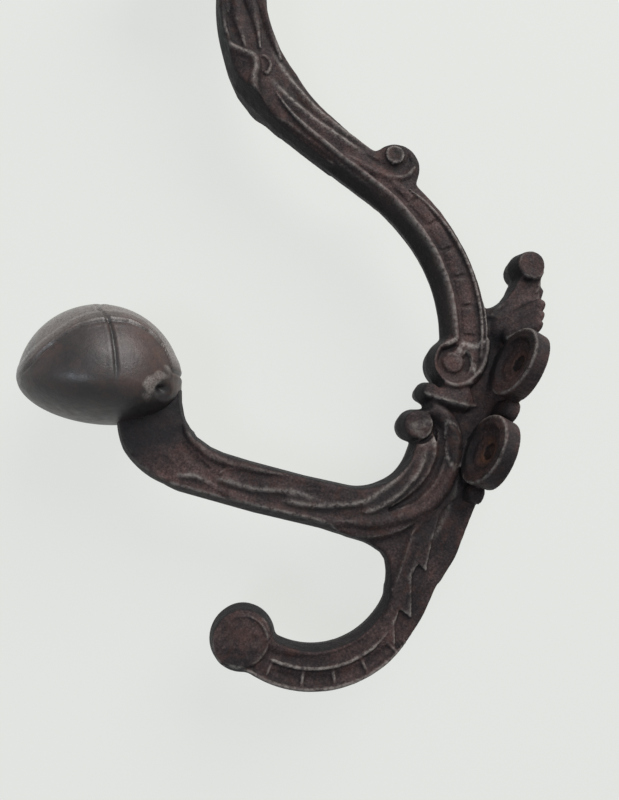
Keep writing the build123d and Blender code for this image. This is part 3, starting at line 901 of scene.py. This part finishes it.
def apply_modifiers(obj):
    """Bakes an object's modifiers into its mesh."""
    evaluated = obj.evaluated_get(bpy.context.evaluated_depsgraph_get())
    baked = bpy.data.meshes.new_from_object(evaluated)
    obj.modifiers.clear()
    obj.data = baked


CASTING_TRIANGLES = 190000
casting = new_mesh("casting", points, quads)
if len(quads) * 2 > CASTING_TRIANGLES:
    thin = casting.modifiers.new("thin", "DECIMATE")
    thin.ratio = CASTING_TRIANGLES / (len(quads) * 2)
    apply_modifiers(casting)
casting.data.polygons.foreach_set("use_smooth", np.ones(len(casting.data.polygons), bool))
print("casting of", len(casting.data.vertices), "points and", len(casting.data.polygons), "faces")

# %% [markdown]
# ## The knobs
# Each knob is a low bun on its own axis. An arch and a line down from the crown are cut across its sides.

# %% Knobs
KNOB_LEAN = math.radians(17)
KNOB_AHEAD, KNOB_DOWN = 12.3, 2.9


def knob_middle(line):
    """A knob's middle: KNOB_AHEAD further out than its arm's end, and KNOB_DOWN lower."""
    end = line[0][-1]
    return end[0] + KNOB_AHEAD, end[1] - KNOB_DOWN


def arch_rise(turn):
    """How high the arch is above a knob's widest level, straight between given turns in degrees."""
    return np.interp(
        turn, (30, 48, 63, 68, 78, 90, 101, 120, 140, 150, 156),
        (-3, 2, 7.6, 9.8, 13.0, 15.0, 16.1, 16.8, 15.2, 11.9, 5),
    )


def line_turn(up):
    """The turn in degrees at which the line down from the crown lies, straight between given levels."""
    return np.interp(
        up, (-8, 1.4, 7.1, 12.3, 16, 18.5, 20.4, 23.6), (111, 109.7, 107.4, 104.5, 101, 94, 84, 70)
    )


def knob(name, middle, radius=23.2, crown=24.1, belly=11.6, around=384, rows=190, scar=0.0):
    """A bun: r = radius * cos(a), h = crown or belly * sin(a), with a from the underside to the top.

    An arch is cut across each side and a line down from the crown through the arch, as soft V grooves with lips.
    scar is the depth of a small hollow behind, on one side.
    """
    a = np.linspace(-math.pi / 2, math.pi / 2, rows + 1)[1:-1]
    t = np.linspace(0, 2 * math.pi, around, endpoint=False)
    A, T = np.meshgrid(a, t, indexing="ij")
    tall = np.where(A > 0, crown, belly)
    flat = np.stack([radius * np.cos(A) * np.cos(T), radius * np.cos(A) * np.sin(T), tall * np.sin(A)], -1)
    up, turn = flat[..., 2], np.degrees(np.arctan2(np.abs(flat[..., 1]), flat[..., 0]))
    arch = arch_rise(turn)
    down = line_turn(up)
    over_arch = (up - arch) / np.where(A > 0, np.clip(np.cos(A) * 1.3, 0.45, 1), 1)
    beside_line = radius * np.cos(A) * np.radians(turn - down)
    fade = np.clip((up + 2) / 5, 0, 1)
    cut = np.zeros(up.shape)
    for off, depth in ((over_arch, 0.75 * np.clip((up + 1) / 4, 0, 1)), (beside_line, 0.6 * fade)):
        cut += depth * (np.exp(-np.abs(off / 0.5) ** 1.6) - 0.14 * np.exp(-(((np.abs(off) - 1.3) / 0.7) ** 2)))
    cut -= 0.3 / (1 + np.exp(-over_arch / 0.8)) * fade * np.clip(3 - over_arch / 2, 0, 1)
    under = ((flat[..., 0] + 19) / 2.6) ** 2 + ((flat[..., 1] - 12.3) / 2.8) ** 2 + ((up + 1.2) / 1.9) ** 2
    cut += scar * np.exp(-1.2 * under)
    normal = flat / np.array([radius**2, radius**2, 1.0])
    normal[..., 2] = up / tall**2
    normal /= np.linalg.norm(normal, axis=-1, keepdims=True)
    flat = flat - normal * (cut + 0.3)[..., None]
    body = np.vstack([flat.reshape(-1, 3), [(0, 0, -belly + 0.3)], [(0, 0, crown - 0.3)]])
    i, j = np.meshgrid(np.arange(len(a) - 1), np.arange(around), indexing="ij")
    k = (j + 1) % around
    quads = np.stack(
        [i * around + j, i * around + k, (i + 1) * around + k, (i + 1) * around + j], -1
    ).reshape(-1, 4)
    low, high = len(body) - 2, len(body) - 1
    j = np.arange(around)
    k = (j + 1) % around
    last = (len(a) - 1) * around
    caps = np.vstack([
        np.stack([k, j, np.full(around, low)], 1), np.stack([last + j, last + k, np.full(around, high)], 1),
    ])
    c, s = math.cos(KNOB_LEAN), math.sin(KNOB_LEAN)
    reach = middle[0] + body[:, 0] * c + body[:, 2] * s
    rise = middle[1] - body[:, 0] * s + body[:, 2] * c
    points = np.stack([body[:, 1], -reach, rise], 1) / 1000
    mesh = bpy.data.meshes.new(name)
    mesh.from_pydata(points.tolist(), [], quads.tolist() + caps.tolist())
    mesh.polygons.foreach_set("use_smooth", np.ones(len(mesh.polygons), bool))
    made = bpy.data.objects.new(name, mesh)
    bpy.context.scene.collection.objects.link(made)
    return made


upper_knob = knob("upper_knob", knob_middle(UPPER))
lower_knob = knob("lower_knob", knob_middle(LOWER), scar=2.2)
print("knobs at", [round(float(v), 1) for v in (*knob_middle(UPPER), *knob_middle(LOWER))])

# %% [markdown]
# ## Cast iron
# Dark iron with a brown patina, sandy from the mould, and worn to a grey sheen where hands and coats rub.

# %% Reading maps
def read_map(a, points):
    """A map's value at each point, by its four nearest map points."""
    f = np.clip((-points[:, 1] * 1000 - REACH[0]) / GRAIN, 0, REACH.size - 1.001)
    u = np.clip((points[:, 2] * 1000 - RISE[0]) / GRAIN, 0, RISE.size - 1.001)
    i, j = f.astype(int), u.astype(int)
    f, u = f - i, u - j
    return (a[i, j] * (1 - f) + a[i + 1, j] * f) * (1 - u) + (a[i, j + 1] * (1 - f) + a[i + 1, j + 1] * f) * u


def mark(obj, name, values):
    """Stores one number per point as an attribute."""
    layer = obj.data.attributes.new(name, "FLOAT", "POINT")
    layer.data.foreach_set("value", np.asarray(values, np.float32))


def points_of(obj):
    """An object's points as an array."""
    flat = np.empty(len(obj.data.vertices) * 3, np.float32)
    obj.data.vertices.foreach_get("co", flat)
    return flat.reshape(-1, 3)


def normals_of(obj):
    """An object's point normals as an array."""
    flat = np.empty(len(obj.data.vertices) * 3, np.float32)
    obj.data.vertex_normals.foreach_get("vector", flat)
    return flat.reshape(-1, 3)


print("marks are read at", len(casting.data.vertices), "points of the casting")

# %% [markdown]
# ### Marks on the casting
# Edges that stand out are worn, by the height minus the same height blurred, and hollows get painted shade by
# the same difference. Rust sits in the lugs' dishes, and the walls and the deep seams get painted shade.

# %% Marks on the casting
shape = np.minimum(HIGH, 9.0)
fine, broad = shape - blurred(shape, 0.5), shape - blurred(shape, 2.0)
seen = points_of(casting)
side, reach, rise = np.abs(seen[:, 0]) * 1000, -seen[:, 1] * 1000, seen[:, 2] * 1000
on_face = np.clip(1 - (read_map(HIGH, seen) - side) / 1.4, 0, 1) * (side < read_map(HIGH, seen) + 1.0)
worn = np.clip(read_map(fine, seen) / 0.26 - 0.40, 0, 1) * on_face
# painted shade: the deep mark darkens hollows and pits by how far they lie below the blurred height
deep = np.clip(-read_map(broad, seen) / 1.3, 0, 0.75) * on_face
deep = np.maximum(deep, np.clip(-read_map(fine, seen) / 0.36 - 0.06, 0, 1) * on_face)
lug_out, lug_off = lug_place(reach, side, rise)
on_lug = (lug_out > -4.5) & (side > 5)
worn = np.maximum(worn, on_lug * (lug_out > -0.6) * np.clip(1.2 - np.abs(lug_off - 10.5) / 0.35, 0, 1))
# painted shade in each lug's dish, on a ring round its sloping wall and inside its screw hole
deep = np.maximum(
    deep, on_lug * (0.55 * np.clip(1 - np.abs(lug_off - 7.4) / 1.0, 0, 1) + np.clip((3.6 - lug_off) / 0.5, 0,
    1) * (lug_out < -2.4))
)
rust = on_lug * np.clip((5.2 - lug_off) / 2.0, 0, 1) * np.where(rise < 0, 1, 0.3)
# painted shade on the walls: the more a point's normal turns away from the side faces, the darker it is
painted_shade = np.clip((0.72 - np.abs(normals_of(casting)[:, 0])) / 0.4, 0, 1) * (side < 8)
worn = worn * np.clip(1.2 - 8 * read_map(pitted, seen), 0.3, 1)
worn = np.maximum(worn, 0.8 * read_map(RUB, seen) * on_face)
# painted shadow at the foot of each leaf's steep side, through the deep mark
deep = np.maximum(deep, 0.8 * read_map(SHADE, seen) * on_face)
# painted shade in the valley behind the arms' roots and on the lower arm's end below its knob
gully = np.zeros(F.shape)
cut, _, _, away, _ = beside(
    curve((14, 34), (9.8, 20), (8.6, 8), (7.8, -4), (7, -14), (6.6, -22), (7.6, -32), (11, -42)), margin=8
)
gully[cut] = np.exp(-((away / 3.0) ** 2))
gully = np.maximum(gully, 1.5 * np.clip((lower_s - 84) / 10, 0, 1) * (lower_edge < 2))
painted_shade = np.maximum(painted_shade, 0.6 * read_map(gully, seen) * (side < 9))
# painted shade on the lugs' outer rims
painted_shade = np.maximum(painted_shade, 0.5 * on_lug * (lug_off > 10.3) * (lug_out < -0.7))
worn = worn * (1 - painted_shade)
for label, values in (("worn", worn), ("deep", deep), ("rust", rust), ("painted_shade", painted_shade)):
    mark(casting, label, values)
print("worn share", round(float((worn > 0.3).mean()), 3), "deep share", round(float((deep > 0.3).mean()), 3))

# %% [markdown]
# ### Marks on the knobs
# The crowns are rubbed and the backs rusty. The lower knob has a hollow behind, beside a pale ragged band.
# Painted shade darkens the knobs' grooves, the hollow, and the body below the arch, more so towards the
# underside.

# %% Marks on the knobs
SCAR = ((-15.6, 15.7, -3.4), (-16.2, 16.2, 0.3), (-18.4, 13.6, 2.6), (-20.2, 11.0, 3.2))


def mark_knob(bun, middle, chafed):
    """Marks on a knob, in its own leaning axes: ahead and up from its middle, and the turn round its axis.

    chafed is 1 for the knob with the hollow and 0 for the other.
    """
    at = points_of(bun) * 1000
    df, du = -at[:, 1] - middle[0], at[:, 2] - middle[1]
    c, s = math.cos(KNOB_LEAN), math.sin(KNOB_LEAN)
    ahead, up = df * c - du * s, df * s + du * c
    turn = np.degrees(np.arctan2(np.abs(at[:, 0]), ahead))
    arch = arch_rise(turn)
    down = line_turn(up)
    line = np.minimum(np.abs(up - arch) + 9 * (up < 0), np.abs(turn - down) * 0.4 + 0.5 * np.maximum(-up, 0))
    under = np.sqrt(((ahead + 19) / 2.4) ** 2 + ((at[:, 0] - 12.3) / 2.6) ** 2 + ((up + 1.2) / 1.8) ** 2)
    # painted shade in the grooves, and on the lower knob inside the hollow behind
    mark(bun, "deep", np.clip(np.maximum(1.1 - line / 0.7, chafed * (1.8 - under)), 0, 1))
    ragged = read_map(sand(0.5, 11), at / 1000) + 0.6 * read_map(sand(1.2, 12), at / 1000)
    here, spot = np.stack([ahead, at[:, 0], up], 1), np.full(len(at), FAR)
    for a, b in zip(SCAR, SCAR[1:]):
        a, b = np.array(a), np.array(b)
        t = np.clip((here - a) @ (b - a) / ((b - a) @ (b - a)), 0, 1)
        spot = np.minimum(spot, np.linalg.norm(here - a - t[:, None] * (b - a), axis=1))
    crown = 0.5 * np.clip((up - arch) / 4, 0.4, 1) * (up > arch)
    mark(
        bun, "worn", np.maximum(crown, 0.75 * np.clip(1.5 - spot / 1.3 + 0.45 * ragged, 0,
        1) * (under > 1) * chafed)
    )
    mark(bun, "rust", 0.3 * np.clip((turn - 122) / 16, 0, 1) * (up > -2) * np.clip((arch + 3 - up) / 3, 0, 1))
    # painted shade: the body darker below the arch and more so towards the underside
    mark(bun, "painted_shade", np.maximum(0.42 * np.clip((arch - up) / 2, 0, 1), 0.7 * np.clip(-up / 6, 0, 1)))


mark_knob(upper_knob, knob_middle(UPPER), 0.0)
mark_knob(lower_knob, knob_middle(LOWER), 1.0)
print("marks on each knob:", [layer.name for layer in lower_knob.data.attributes if layer.data_type == "FLOAT"])

# %% [markdown]
# ### One skin for both irons
# The casting and the knobs share the same patina, wear, rust, sand and painted shade, so these are one node
# group. Each piece carries four marks (`worn`, `deep`, `rust` and the one for painted shade on walls and
# undersides), and the group turns them into colour, roughness and bumps. `deep` is painted shade too.

# %% Irons
def iron_skin():
    """A node group that gives Color, Roughness and Normal from a piece's marks and from four numbers.

    Speckle and Sand say how much of the mould's sand shows, Chafing how fine the rubbed spots break up, and
    Polish is taken off the roughness.
    """
    group = bpy.data.node_groups.new("iron_skin", "ShaderNodeTree")
    nodes, links = group.nodes, group.links
    for label in ("Speckle", "Sand", "Chafing", "Polish"):
        group.interface.new_socket(label, in_out="INPUT", socket_type="NodeSocketFloat")
    for label, kind in (
        ("Color", "NodeSocketColor"), ("Roughness", "NodeSocketFloat"), ("Normal", "NodeSocketVector")
    ):
        group.interface.new_socket(label, in_out="OUTPUT", socket_type=kind)
    given, out = nodes.new("NodeGroupInput"), nodes.new("NodeGroupOutput")
    place = nodes.new("ShaderNodeTexCoord")

    def put(socket, value):
        """Sets a socket to a colour or a number, or links another socket to it."""
        if isinstance(value, tuple):
            socket.default_value = (*value, 1)
        elif isinstance(value, (int, float)):
            socket.default_value = value
        else:
            links.new(value, socket)

    def noise(scale, detail=4.0, rough=0.55):
        """Noise on the piece's own coordinates, finer as scale grows."""
        made = nodes.new("ShaderNodeTexNoise")
        put(made.inputs["Scale"], scale)
        made.inputs["Detail"].default_value = detail
        made.inputs["Roughness"].default_value = rough
        links.new(place.outputs["Object"], made.inputs["Vector"])
        return made.outputs["Fac"]

    def ramp(source, *stops):
        """A colour for each value, mixed between stops of (value, colour)."""
        made = nodes.new("ShaderNodeValToRGB")
        links.new(source, made.inputs["Fac"])
        while len(made.color_ramp.elements) < len(stops):
            made.color_ramp.elements.new(0.5)
        for element, (at, colour) in zip(made.color_ramp.elements, stops):
            element.position = at
            element.color = (*colour, 1)
        return made.outputs["Color"]

    def blend(factor, a, b, kind="MIX"):
        """a where factor is 0 and b where it is 1, or their product for MULTIPLY."""
        made = nodes.new("ShaderNodeMix")
        made.data_type, made.blend_type = "RGBA", kind
        for label, value in (("Factor", factor), ("A", a), ("B", b)):
            put(made.inputs[label], value)
        return made.outputs["Result"]

    def number(kind, a, b):
        """One sum of two numbers, held between 0 and 1."""
        made = nodes.new("ShaderNodeMath")
        made.operation, made.use_clamp = kind, True
        put(made.inputs[0], a)
        put(made.inputs[1], b)
        return made.outputs[0]

    def attribute(label):
        """One of a piece's marks."""
        made = nodes.new("ShaderNodeAttribute")
        made.attribute_name = label
        return made.outputs["Fac"]

    def bump(height, strength, deep, normal=None):
        """Normals of a height that is deep metres at most, on top of other normals."""
        made = nodes.new("ShaderNodeBump")
        put(made.inputs["Strength"], strength)
        made.inputs["Distance"].default_value = deep
        links.new(height, made.inputs["Height"])
        if normal is not None:
            links.new(normal, made.inputs["Normal"])
        return made.outputs[0]

    patches = ramp(
        noise(60, 6.0, 0.6), (0.36, (0.017, 0.0135, 0.0145)), (0.50, (0.036, 0.0255, 0.026)),
        (0.66, (0.068, 0.043, 0.041))
    )
    specks = ramp(noise(1500, 5.0, 0.7), (0.34, (0.35, 0.35, 0.36)), (0.51, (1, 1, 1)), (0.68, (2.4, 2.3, 2.2)))
    colour = blend(given.outputs["Speckle"], patches, specks, "MULTIPLY")
    blotches = ramp(noise(230, 6.0, 0.7), (0.50, (0, 0, 0)), (0.66, (1, 1, 1)))
    colour = blend(number("MULTIPLY", blotches, 0.35), colour, (0.095, 0.046, 0.034))
    # painted shade: blue-black where a piece's mark of shade on walls and undersides is
    colour = blend(number("MULTIPLY", attribute("painted_shade"), 0.85), colour, (0.0085, 0.0090, 0.0105))
    orange = ramp(noise(330, 6.0, 0.7), (0.38, (0, 0, 0)), (0.62, (1, 1, 1)))
    colour = blend(number("MULTIPLY", attribute("rust"), orange), colour, (0.115, 0.057, 0.036))
    # painted shade: near black where the deep mark is, in hollows, grooves, holes and at the foot of steep
    # ridges
    colour = blend(number("MULTIPLY", attribute("deep"), 0.88), colour, (0.0055, 0.0052, 0.0060))
    chafe = ramp(noise(given.outputs["Chafing"], 5.0, 0.7), (0.38, (0.12, 0.12, 0.12)), (0.56, (1, 1, 1)))
    rub = number("MULTIPLY", attribute("worn"), chafe)
    links.new(blend(rub, colour, (0.25, 0.225, 0.21)), out.inputs["Color"])
    dull = nodes.new("ShaderNodeMapRange")
    links.new(number("SUBTRACT", noise(420, 4.0), rub), dull.inputs["Value"])
    dull.inputs["To Min"].default_value = 0.42
    dull.inputs["To Max"].default_value = 0.80
    links.new(number("SUBTRACT", dull.outputs[0], given.outputs["Polish"]), out.inputs["Roughness"])
    sand_bumps = bump(noise(1250, 5.0, 0.65), given.outputs["Sand"], 0.0003)
    waves = bump(noise(430, 3.0), number("MULTIPLY", given.outputs["Sand"], 0.8), 0.0006, sand_bumps)
    links.new(waves, out.inputs["Normal"])
    return group


def iron(name, skin, gloss, **numbers):
    """An iron: the shared skin with this iron's own numbers, and a gloss that is the same all over."""
    material = bpy.data.materials.new(name)
    material.use_nodes = True
    nodes, links = material.node_tree.nodes, material.node_tree.links
    shader = nodes["Principled BSDF"]
    shader.inputs["Metallic"].default_value = 0.0
    shader.inputs["Specular IOR Level"].default_value = gloss
    placed = nodes.new("ShaderNodeGroup")
    placed.node_tree = skin
    for label, value in numbers.items():
        placed.inputs[label].default_value = value
    for label, socket in (("Color", "Base Color"), ("Roughness", "Roughness"), ("Normal", "Normal")):
        links.new(placed.outputs[label], shader.inputs[socket])
    return material


skin_group = iron_skin()
sandy_iron = iron("cast_iron", skin_group, gloss=0.12, Speckle=0.8, Sand=0.8, Chafing=700.0, Polish=0.0)
rubbed_iron = iron("rubbed_iron", skin_group, gloss=0.42, Speckle=0.35, Sand=0.22, Chafing=2200.0, Polish=0.18)
for piece, finish in ((casting, sandy_iron), (upper_knob, rubbed_iron), (lower_knob, rubbed_iron)):
    piece.data.materials.clear()
    piece.data.materials.append(finish)
    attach(piece, "root")
    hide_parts("coat_hook")
print("irons:", sandy_iron.name, "and", rubbed_iron.name)
